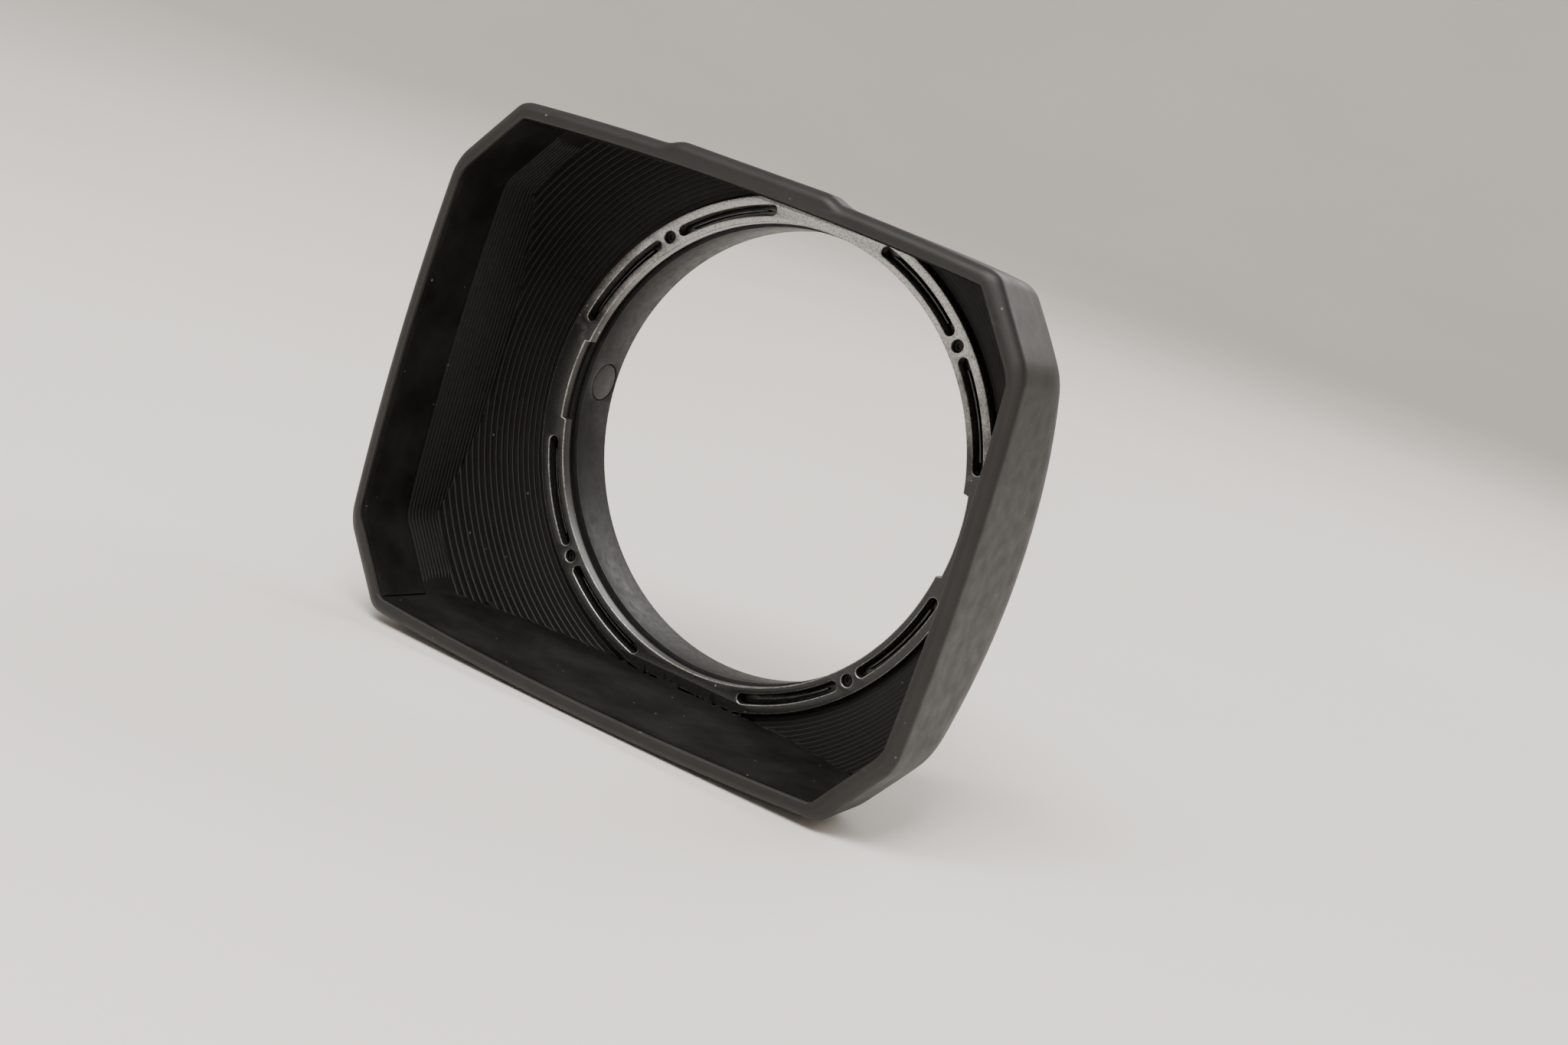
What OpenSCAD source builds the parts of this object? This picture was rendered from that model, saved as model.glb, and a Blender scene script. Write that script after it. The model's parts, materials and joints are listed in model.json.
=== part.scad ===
// Rectangular lens hood: an octagonal tube with bowed walls, a stepped bowl round
// a slotted mount ring, and a clamp collar locked by one radial thumb screw.
// Millimetres. +Z is the top of the hood, the front opening faces -Y, and the
// origin is the centre of the collar's rear mouth, where the lens barrel enters.

/* [Build] */
// every separate piece of the hood, in the order it would be assembled
// piece to build, or all of them

/* [Front opening] */
// width of the front rim over its bowed sides
rim_w = 161.8; // [150:0.2:175]
// height of the front rim over its bowed top and bottom
rim_h = 132.8; // [120:0.2:145]
// distance from the rim's front face back to the mount ring's front face
hood_depth = 43; // [30:1:60]
// width of the rim's front face at the sides
side_rim = 3.7; // [2.5:0.1:6]
// width of the rim's front face at the top and bottom
top_rim = 4.2; // [2.5:0.1:6]
// how far each side wall bows outwards at its middle
side_bow = 1.6; // [0.5:0.1:4]
// how far the top and bottom walls bow outwards at their middle
top_bow = 2.4; // [0.5:0.1:4]
// corner chamfer, measured across the width
corner_x = 13.6; // [8:0.2:20]
// corner chamfer, measured down the height
corner_z = 17.9; // [10:0.2:24]
// angle at which the outside narrows towards the back
outer_taper = 5; // [2:0.5:8]
// angle at which the inside of the side walls narrows
inner_side_taper = 3.2; // [0:0.2:5]
// angle at which the inside of the top and bottom walls narrows
inner_top_taper = 1.6; // [0:0.2:4]
// height of the raised name pad above the top of the rim
pad_rise = 1.2; // [0.5:0.1:2.5]
// half width of the pad's flat top
pad_half = 19; // [12:0.5:30]
// half width of the pad where its sloped ends reach the rim
pad_foot = 25; // [14:0.5:36]
// how far the pad runs back from the rim
pad_depth = 9; // [4:0.5:16]

/* [Light trap] */
// radial width of one step of the stepped bowl
step_pitch = 1.15; // [0.9:0.05:2]
// distance between the ribs on the side walls
rib_pitch = 1.27; // [1:0.01:2]
// height of the side wall ribs
rib_height = 0.35; // [0.2:0.05:0.8]
// distance from the rim's front face to the first rib
rib_start = 18; // [10:1:25]
// thickness of the flocked liner sheets
liner_t = 0.5; // [0.3:0.1:1]

/* [Mount ring] */
// bore of the slotted ring
ring_bore = 111.4; // [108:0.1:116]
// outside of the slotted ring
ring_outer = 124.4; // [120:0.1:130]
// distance between the flats at the ring's top and bottom
ring_flats = 120.8; // [118:0.1:124]
// thickness of the ring
ring_t = 3; // [2:0.1:5]
// mean radius of the arc slots
slot_r = 58.65; // [57:0.05:60]
// width of the arc slots
slot_w = 2.5; // [1.5:0.1:3.5]
// angle from a screw to the near end of each slot beside it
slot_near = 2.9; // [2:0.1:6]
// angle from a screw to the far end of each slot beside it
slot_far = 30; // [20:0.5:35]
// half angle of the two notches in the ring's bore
notch_half = 10.5; // [6:0.5:15]
// depth of the notches
notch_deep = 1.3; // [0.8:0.1:2]

/* [Clamp collar] */
// diameter of the lens barrel that the hood slides over
barrel_d = 110; // [80:0.5:130]
// radial gap between the barrel and the collar's bore
barrel_gap = 0.1; // [0.05:0.01:0.3]
// length of the collar's bore
collar_l = 12; // [8:0.5:20]
// distance of the clamp screw's axis in front of the rear mouth
clamp_back = 5.5; // [4:0.5:8]
// diameter of the knurled knob
knob_d = 16; // [10:0.5:20]
// distance from the hood's axis to the knob's outer face
knob_reach = 79.5; // [72:0.5:80]

/* [Hidden] */
$fn = 96;
eps = 0.02;                              // hair gap between pieces that touch
far = 400;                               // larger than the hood in every direction
reach = 900;                             // longer than the largest bow radius
flange_t = 2.4;                          // shell between the ring's seat and the collar
flange_y = -collar_l - 0.6;              // rear face of the shell's inner flange
seat_y = flange_y - flange_t;            // face that the mount ring sits on
ring_y = seat_y - ring_t;                // front face of the mount ring
rim_y = ring_y - hood_depth;             // front face of the rim
half_w = rim_w / 2;
half_h = rim_h / 2;
in_w = half_w - side_rim;
in_h = half_h - top_rim;
flat_z = half_h - top_bow - corner_z;    // half length of the side walls
flat_x = half_w - side_bow - corner_x;   // half length of the top and bottom walls
side_r = (flat_z * flat_z + side_bow * side_bow) / (2 * side_bow);
top_r = (flat_x * flat_x + top_bow * top_bow) / (2 * top_bow);
bowl_r0 = ring_outer / 2 + 0.8;          // where the stepped bowl begins
bowl_steps = 28;
rib_count = 16;
liner_start = 1.2;                       // the liners begin this far behind the rim
shell_bore_r = 56.4;
groove_in = 57.2;                        // groove that holds the locating ring
groove_out = 60.1;
screw_angles = [45, 135, 225, 315];
screw_r = 58.8;                          // radius of the circle of ring screws
bore_r = barrel_d / 2 + barrel_gap;
collar_r = 60.2;
collar_flange_r = 62.2;
boss_r = 5.5;
boss_end = 66;
well_r = 4.9;                            // pocket that the pressure shoe moves in
well_end = 59.6;
bush_r = 3.4;
shoe_end = 57.3;
screw_rad = 2;                           // M4 clamp screw
clip_at = 57.8;
clip_t = 0.5;
grip_angles = [40, -40];
grip_span = 10;                          // half angle of each grip pad
grip_l = 8;
grip_t = 1;
knob_start = 68.75;
knob_l = knob_reach - knob_start;
knurl_count = 28;
cap_r = 5.4;
cap_t = 1.8;

// depth of the bowl's inner surface at radius r: it steepens outwards
function bowl_y(r) = ring_y + 2 - 0.45 * (r - 64) - 0.014 * (r - 64) * (r - 64);
function step_r(i) = bowl_r0 + i * step_pitch;

// turns a shape drawn round Z so that its axis runs back along +Y
module round_y() {
    rotate([-90, 0, 0]) children();
}

// turns a shape drawn along Z so that it points outwards along the clamp screw
module along_clamp() {
    translate([0, -clamp_back, 0]) rotate([0, -90, 0]) children();
}

// copies a shape to each of the four screws of the mount ring
module at_screws() {
    for (a = screw_angles) rotate([0, a, 0]) translate([screw_r, 0, 0]) children();
}

// everything inside one bowed wall, which lies dist from the axis at the rim,
// faces the turn angle and leans in by taper towards the back
module inside_bowed_wall(turn, dist, taper, bow_r) {
    rotate([0, -turn, 0]) translate([dist, rim_y, 0]) rotate([0, 0, taper])
        translate([-bow_r, -reach, 0]) round_y() cylinder(r = bow_r, h = 2 * reach, $fn = 360);
}

// everything inside one flat corner wall
module inside_corner(turn, dist, taper) {
    rotate([0, -turn, 0]) translate([dist, rim_y, 0]) rotate([0, 0, taper])
        translate([-2 * reach, -reach, -reach]) cube(2 * reach);
}

// tapering octagonal block with bowed walls; w and h are its half sizes at the rim
module bowed_block(w, h, side_taper, top_taper, cut_x, cut_z) {
    corner = atan2(cut_x, cut_z);
    corner_dist = (w - side_bow) * cos(corner) + (h - top_bow - cut_z) * sin(corner);
    intersection() {
        inside_bowed_wall(0, w, side_taper, side_r);
        inside_bowed_wall(180, w, side_taper, side_r);
        inside_bowed_wall(90, h, top_taper, top_r);
        inside_bowed_wall(270, h, top_taper, top_r);
        inside_corner(corner, corner_dist, side_taper);
        inside_corner(-corner, corner_dist, side_taper);
        inside_corner(180 - corner, corner_dist, side_taper);
        inside_corner(180 + corner, corner_dist, side_taper);
    }
}

// the hood's inner surface, moved inwards by inset
module inner_block(inset) {
    bowed_block(in_w - inset, in_h - inset, inner_side_taper, inner_top_taper,
        corner_x - 1.4, corner_z - 1.7);
}

// a thin layer lying on the inner surface, between two insets
module inner_layer(inset_1, inset_2) {
    difference() {
        inner_block(inset_1);
        inner_block(inset_2);
    }
}

// space in front of the stepped bowl and the ring's seat
module front_space() {
    round_y() rotate_extrude() polygon(concat(
        [[0, rim_y - 5], [step_r(bowl_steps), rim_y - 5]],
        [for (i = [bowl_steps - 1 : -1 : 0], end = [1, 0])
            [step_r(i + end), bowl_y(step_r(i + 0.5))]],
        [[bowl_r0, seat_y], [0, seat_y]]));
}

// space in front of a smooth bowl that just clears every step
module liner_space() {
    round_y() rotate_extrude() polygon(concat(
        [[0, rim_y + liner_start], [96, rim_y + liner_start]],
        [for (r = [96 : -4 : 64]) [r, bowl_y(r) - 1]],
        [[0, bowl_y(64) - 1]]));
}

// space behind the bowl's outer surface
module rear_space() {
    round_y() rotate_extrude() polygon(concat(
        [[0, 5], [0, flange_y], [64.6, flange_y]],
        [for (r = [67 : 3 : 100]) [r, bowl_y(r - 1.6) + 2.2]],
        [[100, 5]]));
}

// low ribs across the side walls and the corners, one behind the other
module side_ribs() {
    intersection() {
        inner_layer(-0.4, rib_height);
        front_space();
        for (side = [0, 1], i = [0 : rib_count - 1]) mirror([side, 0, 0])
            translate([flat_x - 1, rim_y + rib_start + i * rib_pitch, -half_h])
                cube([half_w - flat_x, rib_pitch / 2, rim_h]);
    }
}

// the raised pad over the middle of the rim
module name_pad() {
    translate([0, rim_y, half_h]) rotate([-outer_taper, 0, 0]) round_y() mirror([0, 1, 0])
        linear_extrude(pad_depth) polygon([[-pad_foot, -2.2], [-pad_foot, -0.5],
            [-pad_half, pad_rise], [pad_half, pad_rise], [pad_foot, -0.5], [pad_foot, -2.2]]);
}

// everything between the rim's front face and the inner flange's rear face
module body_slab() {
    translate([-far / 2, rim_y, -far / 2]) cube([far, flange_y - rim_y, far]);
}

// moulded black hood body: rim, tapering walls and stepped bowl
module hood_shell() {
    color([0.09, 0.09, 0.09]) difference() {
        union() {
            difference() {
                intersection() {
                    bowed_block(half_w, half_h, outer_taper, outer_taper, corner_x, corner_z);
                    body_slab();
                }
                intersection() {
                    inner_block(0);
                    front_space();
                }
            }
            intersection() {
                name_pad();
                body_slab();
            }
            side_ribs();
        }
        rear_space();
        round_y() translate([0, 0, seat_y - 1]) cylinder(r = shell_bore_r, h = 10);
        round_y() translate([0, 0, seat_y - 1]) difference() {
            cylinder(r = groove_out, h = 1.7);
            cylinder(r = groove_in, h = 1.7);
        }
        at_screws() round_y() translate([0, 0, seat_y - 1]) cylinder(r = 1.1, h = 10);
    }
}

// flocked sheet on the top or bottom wall
module wide_liner(side) {
    color([0.05, 0.05, 0.05]) intersection() {
        inner_layer(eps, liner_t);
        liner_space();
        translate([6 - flat_x, rim_y, side > 0 ? 0 : -half_h])
            cube([2 * flat_x - 12, hood_depth, half_h]);
    }
}

module liner_top() {
    wide_liner(1);
}

module liner_bottom() {
    wide_liner(-1);
}

// flocked strip on a side wall, from the rim to the first rib
module side_liner(side) {
    color([0.05, 0.05, 0.05]) intersection() {
        inner_layer(eps, liner_t);
        translate([side > 0 ? 0 : -half_w, rim_y + liner_start, 1 - flat_z])
            cube([half_w, rib_start - liner_start - 0.6, 2 * flat_z - 2]);
    }
}

module liner_left() {
    side_liner(-1);
}

module liner_right() {
    side_liner(1);
}

// arc of a ring round the hood's axis, from angle a0 to a1
module ring_arc(r_in, r_out, y0, y1, a0, a1) {
    round_y() rotate([0, 0, a0]) rotate_extrude(angle = a1 - a0)
        translate([r_in, y0]) square([r_out - r_in, y1 - y0]);
}

// the two arcs beside each screw, from near to far away from it
module beside_screws(near_a, far_a) {
    for (a = screw_angles, side = [-1, 1])
        rotate([0, a, 0]) ring_arc(slot_r - $arc_w / 2, slot_r + $arc_w / 2, $arc_y0, $arc_y1,
            side > 0 ? near_a : -far_a, side > 0 ? far_a : -near_a);
}

// arc slots through the mount ring, with round ends a hair wider than the arcs
module arc_slots() {
    end_r = slot_w / 2 + 0.03;
    end_a = asin(end_r / slot_r);
    beside_screws(slot_near + end_a, slot_far - end_a,
        $arc_w = slot_w, $arc_y0 = ring_y - 1, $arc_y1 = seat_y + 1);
    for (a = screw_angles, side = [-1, 1], end = [slot_near + end_a, slot_far - end_a])
        rotate([0, a + side * end, 0]) translate([slot_r, ring_y - 1, 0])
            round_y() cylinder(r = end_r, h = ring_t + 2);
}

// thin metal ring under the mount ring, with upright tabs that show in the slots
module locating_ring() {
    color([0.75, 0.75, 0.76]) {
        difference() {
            ring_arc(groove_in + 0.1, groove_out - 0.1, seat_y + eps, seat_y + 0.6, 0, 360);
            at_screws() round_y() translate([0, 0, seat_y - 1]) cylinder(r = 1.2, h = 3);
        }
        beside_screws(slot_near + 3, slot_far - 3, $arc_w = 0.4,
            $arc_y0 = ring_y + 1.3, $arc_y1 = seat_y + 0.3);
    }
}

// slotted metal ring that the lens barrel passes through
module mount_ring() {
    bore = ring_bore / 2;
    outer = ring_outer / 2;
    color([0.55, 0.55, 0.56]) difference() {
        intersection() {
            round_y() rotate_extrude() polygon([[bore, ring_y + 0.4], [bore + 0.4, ring_y],
                [outer - 0.3, ring_y], [outer, ring_y + 0.3], [outer, seat_y], [bore, seat_y]]);
            translate([-far / 2, -far / 2, -ring_flats / 2]) cube([far, far, ring_flats]);
        }
        arc_slots();
        for (side = [0, 180])
            ring_arc(bore - 1, bore + notch_deep, ring_y - 1, seat_y + 1,
                side - notch_half, side + notch_half);
        at_screws() round_y() translate([0, 0, ring_y - 1]) cylinder(r = 1.5, h = 3);
        at_screws() round_y() translate([0, 0, ring_y]) cylinder(r = 1.1, h = 5);
    }
}

// four socket screws through the ring and the shell into the collar
module ring_screws() {
    color([0.12, 0.12, 0.12]) at_screws() round_y() difference() {
        union() {
            translate([0, 0, ring_y + 1]) cylinder(r = 1.4, h = 1 - eps);
            translate([0, 0, ring_y + 1.5]) cylinder(r = 0.95, h = 7.4);
        }
        translate([0, 0, ring_y + 0.5]) cylinder(r = 0.75, h = 1.1, $fn = 6);
    }
}

// aluminium collar that slides over the lens barrel, with the clamp's boss
module clamp_collar() {
    color([0.14, 0.14, 0.15]) difference() {
        union() {
            round_y() rotate_extrude() polygon([[bore_r - 1, flange_y + eps],
                [collar_flange_r, flange_y + eps], [collar_flange_r, flange_y + 2.4],
                [collar_r, flange_y + 2.4], [collar_r, -0.5], [collar_r - 0.5, 0], [bore_r - 1, 0]]);
            along_clamp() translate([0, 0, collar_r - 2])
                cylinder(r = boss_r, h = boss_end - collar_r + 2);
        }
        round_y() translate([0, 0, -20]) cylinder(r = bore_r, h = 30);
        along_clamp() translate([0, 0, 40]) cylinder(r = well_r, h = well_end - 40);
        along_clamp() translate([0, 0, 50]) cylinder(r = bush_r, h = 30);
        at_screws() round_y() translate([0, 0, flange_y - 1]) cylinder(r = 0.97, h = 5.4);
        for (a = grip_angles)
            ring_arc(bore_r - 1, bore_r + grip_t + 0.1, -clamp_back - grip_l / 2 - 0.1,
                grip_l / 2 - clamp_back + 0.1, a - grip_span - 0.1, a + grip_span + 0.1);
    }
}

// two nylon pads let into the collar's bore opposite the clamp screw
module grip_pads() {
    color([0.16, 0.16, 0.16]) for (a = grip_angles)
        ring_arc(bore_r + 0.05, bore_r + grip_t, -clamp_back - grip_l / 2,
            grip_l / 2 - clamp_back, a - grip_span, a + grip_span);
}

// brass bushing pressed into the boss, threaded for the clamp screw
module clamp_bushing() {
    color([0.78, 0.62, 0.3]) along_clamp() difference() {
        union() {
            translate([0, 0, well_end]) cylinder(r = bush_r - eps, h = boss_end - well_end + 0.5);
            translate([0, 0, boss_end + eps]) cylinder(r = bush_r + 1.2, h = 0.8);
        }
        translate([0, 0, well_end - 1]) cylinder(r = screw_rad + 0.06, h = 20);
    }
}

// nylon shoe that the screw presses against the lens barrel
module pressure_shoe() {
    color([0.16, 0.16, 0.16]) difference() {
        along_clamp() difference() {
            translate([0, 0, bore_r - 2]) cylinder(r = well_r - 0.3, h = shoe_end - bore_r + 2);
            translate([0, 0, shoe_end - 1.2]) cylinder(r = screw_rad + 0.06, h = 5);
        }
        round_y() translate([0, 0, -20]) cylinder(r = bore_r + 0.05, h = 30);
    }
}

// M4 clamp screw: plain tip in the shoe, clip groove, threaded stretch, plain end
module clamp_screw() {
    thread_start = clip_at + clip_t + 0.6;
    color([0.62, 0.62, 0.64]) along_clamp() difference() {
        translate([0, 0, shoe_end - 1.1]) cylinder(r = screw_rad, h = knob_reach - 4.5 - shoe_end);
        translate([0, 0, clip_at]) difference() {
            cylinder(r = 3, h = clip_t);
            cylinder(r = screw_rad - 0.5, h = clip_t);
        }
        for (i = [0 : 9]) translate([0, 0, thread_start + i * 0.7]) rotate_extrude()
            polygon([[screw_rad - 0.3, 0.25], [screw_rad + 0.1, 0], [screw_rad + 0.1, 0.5]]);
    }
}

// open clip in the screw's groove, which keeps the screw in the bushing
module screw_clip() {
    color([0.5, 0.5, 0.52]) along_clamp() translate([0, 0, clip_at + eps]) difference() {
        cylinder(r = 3.4, h = clip_t - 2 * eps);
        cylinder(r = screw_rad - 0.45, h = clip_t);
        translate([-1.2, 0, -1]) cube([2.4, 5, 3]);
    }
}

// nylon washer that rides under the knob
module knob_washer() {
    color([0.16, 0.16, 0.16]) along_clamp() translate([0, 0, knob_start - 0.85]) difference() {
        cylinder(r = 5.4, h = 0.8);
        cylinder(r = screw_rad + 0.1, h = 2);
    }
}

// knurled clamp knob
module clamp_knob() {
    color([0.1, 0.1, 0.1]) along_clamp() difference() {
        translate([0, 0, knob_start]) rotate_extrude() polygon([[0, 0], [knob_d / 2 - 2, 0],
            [knob_d / 2 - 2, 1], [knob_d / 2 - 0.6, 1], [knob_d / 2, 1.6],
            [knob_d / 2, knob_l - 0.6], [knob_d / 2 - 0.6, knob_l], [0, knob_l]]);
        for (i = [0 : knurl_count - 1]) rotate([0, 0, i * 360 / knurl_count])
            translate([knob_d / 2 + 0.25, 0, knob_start + 1]) cylinder(r = 0.65, h = knob_l);
        translate([0, 0, knob_start - 1]) cylinder(r = screw_rad + 0.02, h = knob_l - 3);
        translate([0, 0, knob_reach - cap_t]) cylinder(r = cap_r, h = 5);
        translate([0, 0, knob_start + 4]) round_y() cylinder(r = 1.27, h = 10);
    }
}

// smooth disc pressed into the knob's outer end
module knob_cap() {
    color([0.2, 0.2, 0.21]) along_clamp() translate([0, 0, knob_reach - cap_t + eps])
        rotate_extrude() polygon([[0, 0], [cap_r - eps, 0], [cap_r - eps, cap_t - 0.4],
            [cap_r - 0.4, cap_t - eps], [0, cap_t - eps]]);
}

// headless socket screw that locks the knob to the clamp screw
module knob_grub_screw() {
    color([0.2, 0.2, 0.2]) along_clamp() translate([0, 0, knob_start + 4]) round_y() difference() {
        translate([0, 0, screw_rad + eps]) cylinder(r = 1.25, h = 4.6);
        translate([0, 0, screw_rad + 3.2]) cylinder(r = 0.65, h = 3, $fn = 6);
    }
}

hood_shell();
liner_top();
liner_bottom();
liner_left();
liner_right();
locating_ring();
mount_ring();
ring_screws();
clamp_collar();
grip_pads();
clamp_bushing();
pressure_shoe();
clamp_screw();
screw_clip();
knob_washer();
clamp_knob();
knob_cap();
knob_grub_screw();
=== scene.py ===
"""Looks for the rectangular lens hood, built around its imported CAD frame.

Metres, in the frame of the CAD: +Z is the top of the hood, the front opening
faces -Y, and the origin is the centre of the collar's rear mouth.
"""
import json
import math

import bmesh
import bpy
import numpy as np
from mathutils import Euler, Matrix, Vector, noise


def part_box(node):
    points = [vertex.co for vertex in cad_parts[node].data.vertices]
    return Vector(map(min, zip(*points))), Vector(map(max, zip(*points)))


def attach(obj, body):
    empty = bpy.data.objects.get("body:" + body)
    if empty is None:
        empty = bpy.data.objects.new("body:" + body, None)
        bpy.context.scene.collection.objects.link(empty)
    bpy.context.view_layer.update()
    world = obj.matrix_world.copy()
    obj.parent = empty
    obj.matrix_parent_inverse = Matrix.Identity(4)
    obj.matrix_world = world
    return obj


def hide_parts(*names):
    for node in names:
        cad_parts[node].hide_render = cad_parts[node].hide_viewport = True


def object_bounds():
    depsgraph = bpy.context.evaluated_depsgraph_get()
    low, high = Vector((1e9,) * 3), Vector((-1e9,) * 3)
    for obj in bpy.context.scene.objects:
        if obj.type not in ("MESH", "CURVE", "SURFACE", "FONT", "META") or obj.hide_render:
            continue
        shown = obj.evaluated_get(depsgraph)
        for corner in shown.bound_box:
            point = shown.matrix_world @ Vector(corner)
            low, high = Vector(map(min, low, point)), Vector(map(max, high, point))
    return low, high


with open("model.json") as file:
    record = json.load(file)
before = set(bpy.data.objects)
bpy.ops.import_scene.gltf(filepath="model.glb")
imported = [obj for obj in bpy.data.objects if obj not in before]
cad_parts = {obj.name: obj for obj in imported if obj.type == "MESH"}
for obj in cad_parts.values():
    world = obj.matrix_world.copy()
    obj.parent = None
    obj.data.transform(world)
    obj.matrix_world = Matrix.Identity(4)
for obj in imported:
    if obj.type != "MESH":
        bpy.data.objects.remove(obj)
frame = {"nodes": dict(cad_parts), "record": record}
cad_low, cad_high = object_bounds()

MM = 0.001


# ---------------------------------------------------------------- camera

CAMERA_AT = Vector((0.3303, -0.61727, 0.10449))
CAMERA_TURN = (79.718, -17.681, 31.075)     # degrees; the second is the photo's roll
LENS_MM = 66.28
SENSOR_MM = 36.0


def add_camera():
    data = bpy.data.cameras.new("camera")
    data.lens = LENS_MM
    data.sensor_width = SENSOR_MM
    data.clip_start = 0.01
    data.clip_end = 50
    camera = bpy.data.objects.new("camera", data)
    camera.location = CAMERA_AT
    camera.rotation_euler = Euler([math.radians(a) for a in CAMERA_TURN])
    bpy.context.scene.collection.objects.link(camera)
    bpy.context.scene.camera = camera


add_camera()


# ---------------------------------------------------------------- sizes, in mm

def mm_box(node):
    low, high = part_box(node)
    return low / MM, high / MM


shell_low, shell_high = mm_box("hood_shell")
ring_low, ring_high = mm_box("mount_ring")

RIM_Y = shell_low.y
HALF_W = shell_high.x
HALF_H = -shell_low.z
RING_Y = ring_low.y
SEAT_Y = ring_high.y
FLANGE_Y = shell_high.y
RING_R = ring_high.x
RING_FLAT = ring_high.z

SIDE_RIM = 3.7                              # rim's width at the sides
TOP_RIM = 4.2                               # rim's width at the top and bottom
SIDE_BOW = 1.6                              # how far the walls bulge at their middle
TOP_BOW = 2.4
CORNER_X = 13.6                             # how much the cut corners take off
CORNER_Z = 17.9
INNER_CUT_X = CORNER_X - 1.4                # the same on the inside
INNER_CUT_Z = CORNER_Z - 1.7
OUTER_TAPER = 5.0                           # degrees
INNER_SIDE_TAPER = 3.2
INNER_TOP_TAPER = 1.6
PAD_RISE = 1.2
PAD_HALF = 19.0
PAD_FOOT = 25.0
PAD_DEPTH = 9.0
STEP_PITCH = 1.15
STEPS = 28
RIB_PITCH = 1.27
RIB_HEIGHT = 0.35
RIB_START = 18.0
RIBS = 16
LIP = 0.5                                   # radius of the rim's inner edge
RIM_ROUND = 3.2                             # radius of the rim's outer edge
INNER_SOFT = 1.2                            # how far the rounding of the corners reaches
OUTER_SOFT = 2.2
SEAT_R = 64.2                               # flat seat for the collar's flange
SEAT_BEVEL = 0.4
REAR_ROUND = 8.0                            # how far the rear edge's rounding reaches
STEP_EDGE = 0.11                            # bevel on the bowl's steps
FLAT_Z = HALF_H - TOP_BOW - CORNER_Z
FLAT_X = HALF_W - SIDE_BOW - CORNER_X
BOWL_FOOT = 64.0                            # radius where the bowl's curve starts
SHELL_WALL = 2.2                            # thickness of the bowl, front to back
BOWL_R0 = RING_R + 0.8
BORE_R = 56.4
GROOVE = (57.2, 60.1)
GROOVE_DEPTH = 0.7
LINER_START = 1.2
LINER_T = 0.5
FRAYED = 26.0                               # half width of the lower liner's frayed stretch
RING_BORE = 55.7
SLOT_R = 58.65
SLOT_W = 2.5
SLOT_NEAR = 2.9
SLOT_FAR = 30.0
SCREW_R = 58.8
SCREW_ANGLES = (45, 135, 225, 315)
NOTCH_HALF = 10.5
NOTCH_DEEP = 1.3


def tan_d(a):
    return math.tan(math.radians(a))


def bow_radius(half_length, bow):
    return (half_length ** 2 + bow ** 2) / (2 * bow)


SIDE_BOW_R = bow_radius(FLAT_Z, SIDE_BOW)
TOP_BOW_R = bow_radius(FLAT_X, TOP_BOW)


def bowl_y(r):
    """Depth of the stepped bowl's inner surface at radius r."""
    out = r - BOWL_FOOT
    return RING_Y + 2 - 0.45 * out - 0.014 * out ** 2


# ---------------------------------------------------------------- node materials

class Nodes:
    """A node material under construction."""

    def __init__(self, name, color, roughness, metallic=0.0):
        self.material = bpy.data.materials.new(name)
        self.material.use_nodes = True
        self.tree = self.material.node_tree
        self.shader = self.tree.nodes["Principled BSDF"]
        self.set(self.shader, "Base Color", (*color, 1))
        self.set(self.shader, "Roughness", roughness)
        self.set(self.shader, "Metallic", metallic)
        self.space = self.tree.nodes.new("ShaderNodeTexCoord").outputs["Object"]

    def set(self, node, socket, value):
        if isinstance(value, bpy.types.NodeSocket):
            self.tree.links.new(value, node.inputs[socket])
        else:
            node.inputs[socket].default_value = value

    def node(self, kind, **sockets):
        made = self.tree.nodes.new(kind)
        for socket, value in sockets.items():
            self.set(made, socket.replace("_", " "), value)
        return made

    def scaled(self, scale):
        made = self.node("ShaderNodeMapping", Vector=self.space)
        made.inputs["Scale"].default_value = scale
        return made.outputs["Vector"]

    def noise(self, scale, detail=3.0, rough=0.55, at=None):
        made = self.node("ShaderNodeTexNoise", Vector=at or self.space, Scale=scale,
                         Detail=detail, Roughness=rough)
        return made.outputs["Fac"]

    def spots(self, scale, size, share):
        """1 inside sparse round specks of a voronoi pattern."""
        cells = self.node("ShaderNodeTexVoronoi", Vector=self.space, Scale=scale)
        near = self.math("LESS_THAN", cells.outputs["Distance"], size)
        pick = self.node("ShaderNodeSeparateColor", Color=cells.outputs["Color"])
        rare = self.math("LESS_THAN", pick.outputs["Red"], share)
        return self.math("MULTIPLY", near, rare)

    def math(self, how, a, b):
        made = self.tree.nodes.new("ShaderNodeMath")
        made.operation = how
        self.set(made, 0, a)
        self.set(made, 1, b)
        return made.outputs[0]

    def ramp(self, value, *stops):
        """Colour ramp; each stop is (position, grey or colour)."""
        made = self.node("ShaderNodeValToRGB", Fac=value)
        points = made.color_ramp.elements
        while len(points) < len(stops):
            points.new(0.5)
        for point, (position, color) in zip(points, stops):
            point.position = position
            grey = isinstance(color, (int, float))
            point.color = (color, color, color, 1) if grey else (*color, 1)
        return made.outputs["Color"]

    def mix(self, share, a, b):
        made = self.tree.nodes.new("ShaderNodeMix")
        made.data_type = "RGBA"
        self.set(made, 0, share)
        self.set(made, 6, a if isinstance(a, bpy.types.NodeSocket) else (*a, 1))
        self.set(made, 7, b if isinstance(b, bpy.types.NodeSocket) else (*b, 1))
        return made.outputs[2]

    def attribute(self, name):
        made = self.tree.nodes.new("ShaderNodeAttribute")
        made.attribute_name = name
        return made.outputs["Fac"]

    def color(self, value):
        self.set(self.shader, "Base Color", value)

    def roughness(self, value):
        self.set(self.shader, "Roughness", value)

    def bump(self, height, distance_mm, strength):
        made = self.node("ShaderNodeBump", Height=height, Strength=strength,
                         Distance=distance_mm * MM)
        self.set(self.shader, "Normal", made.outputs["Normal"])


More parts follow.
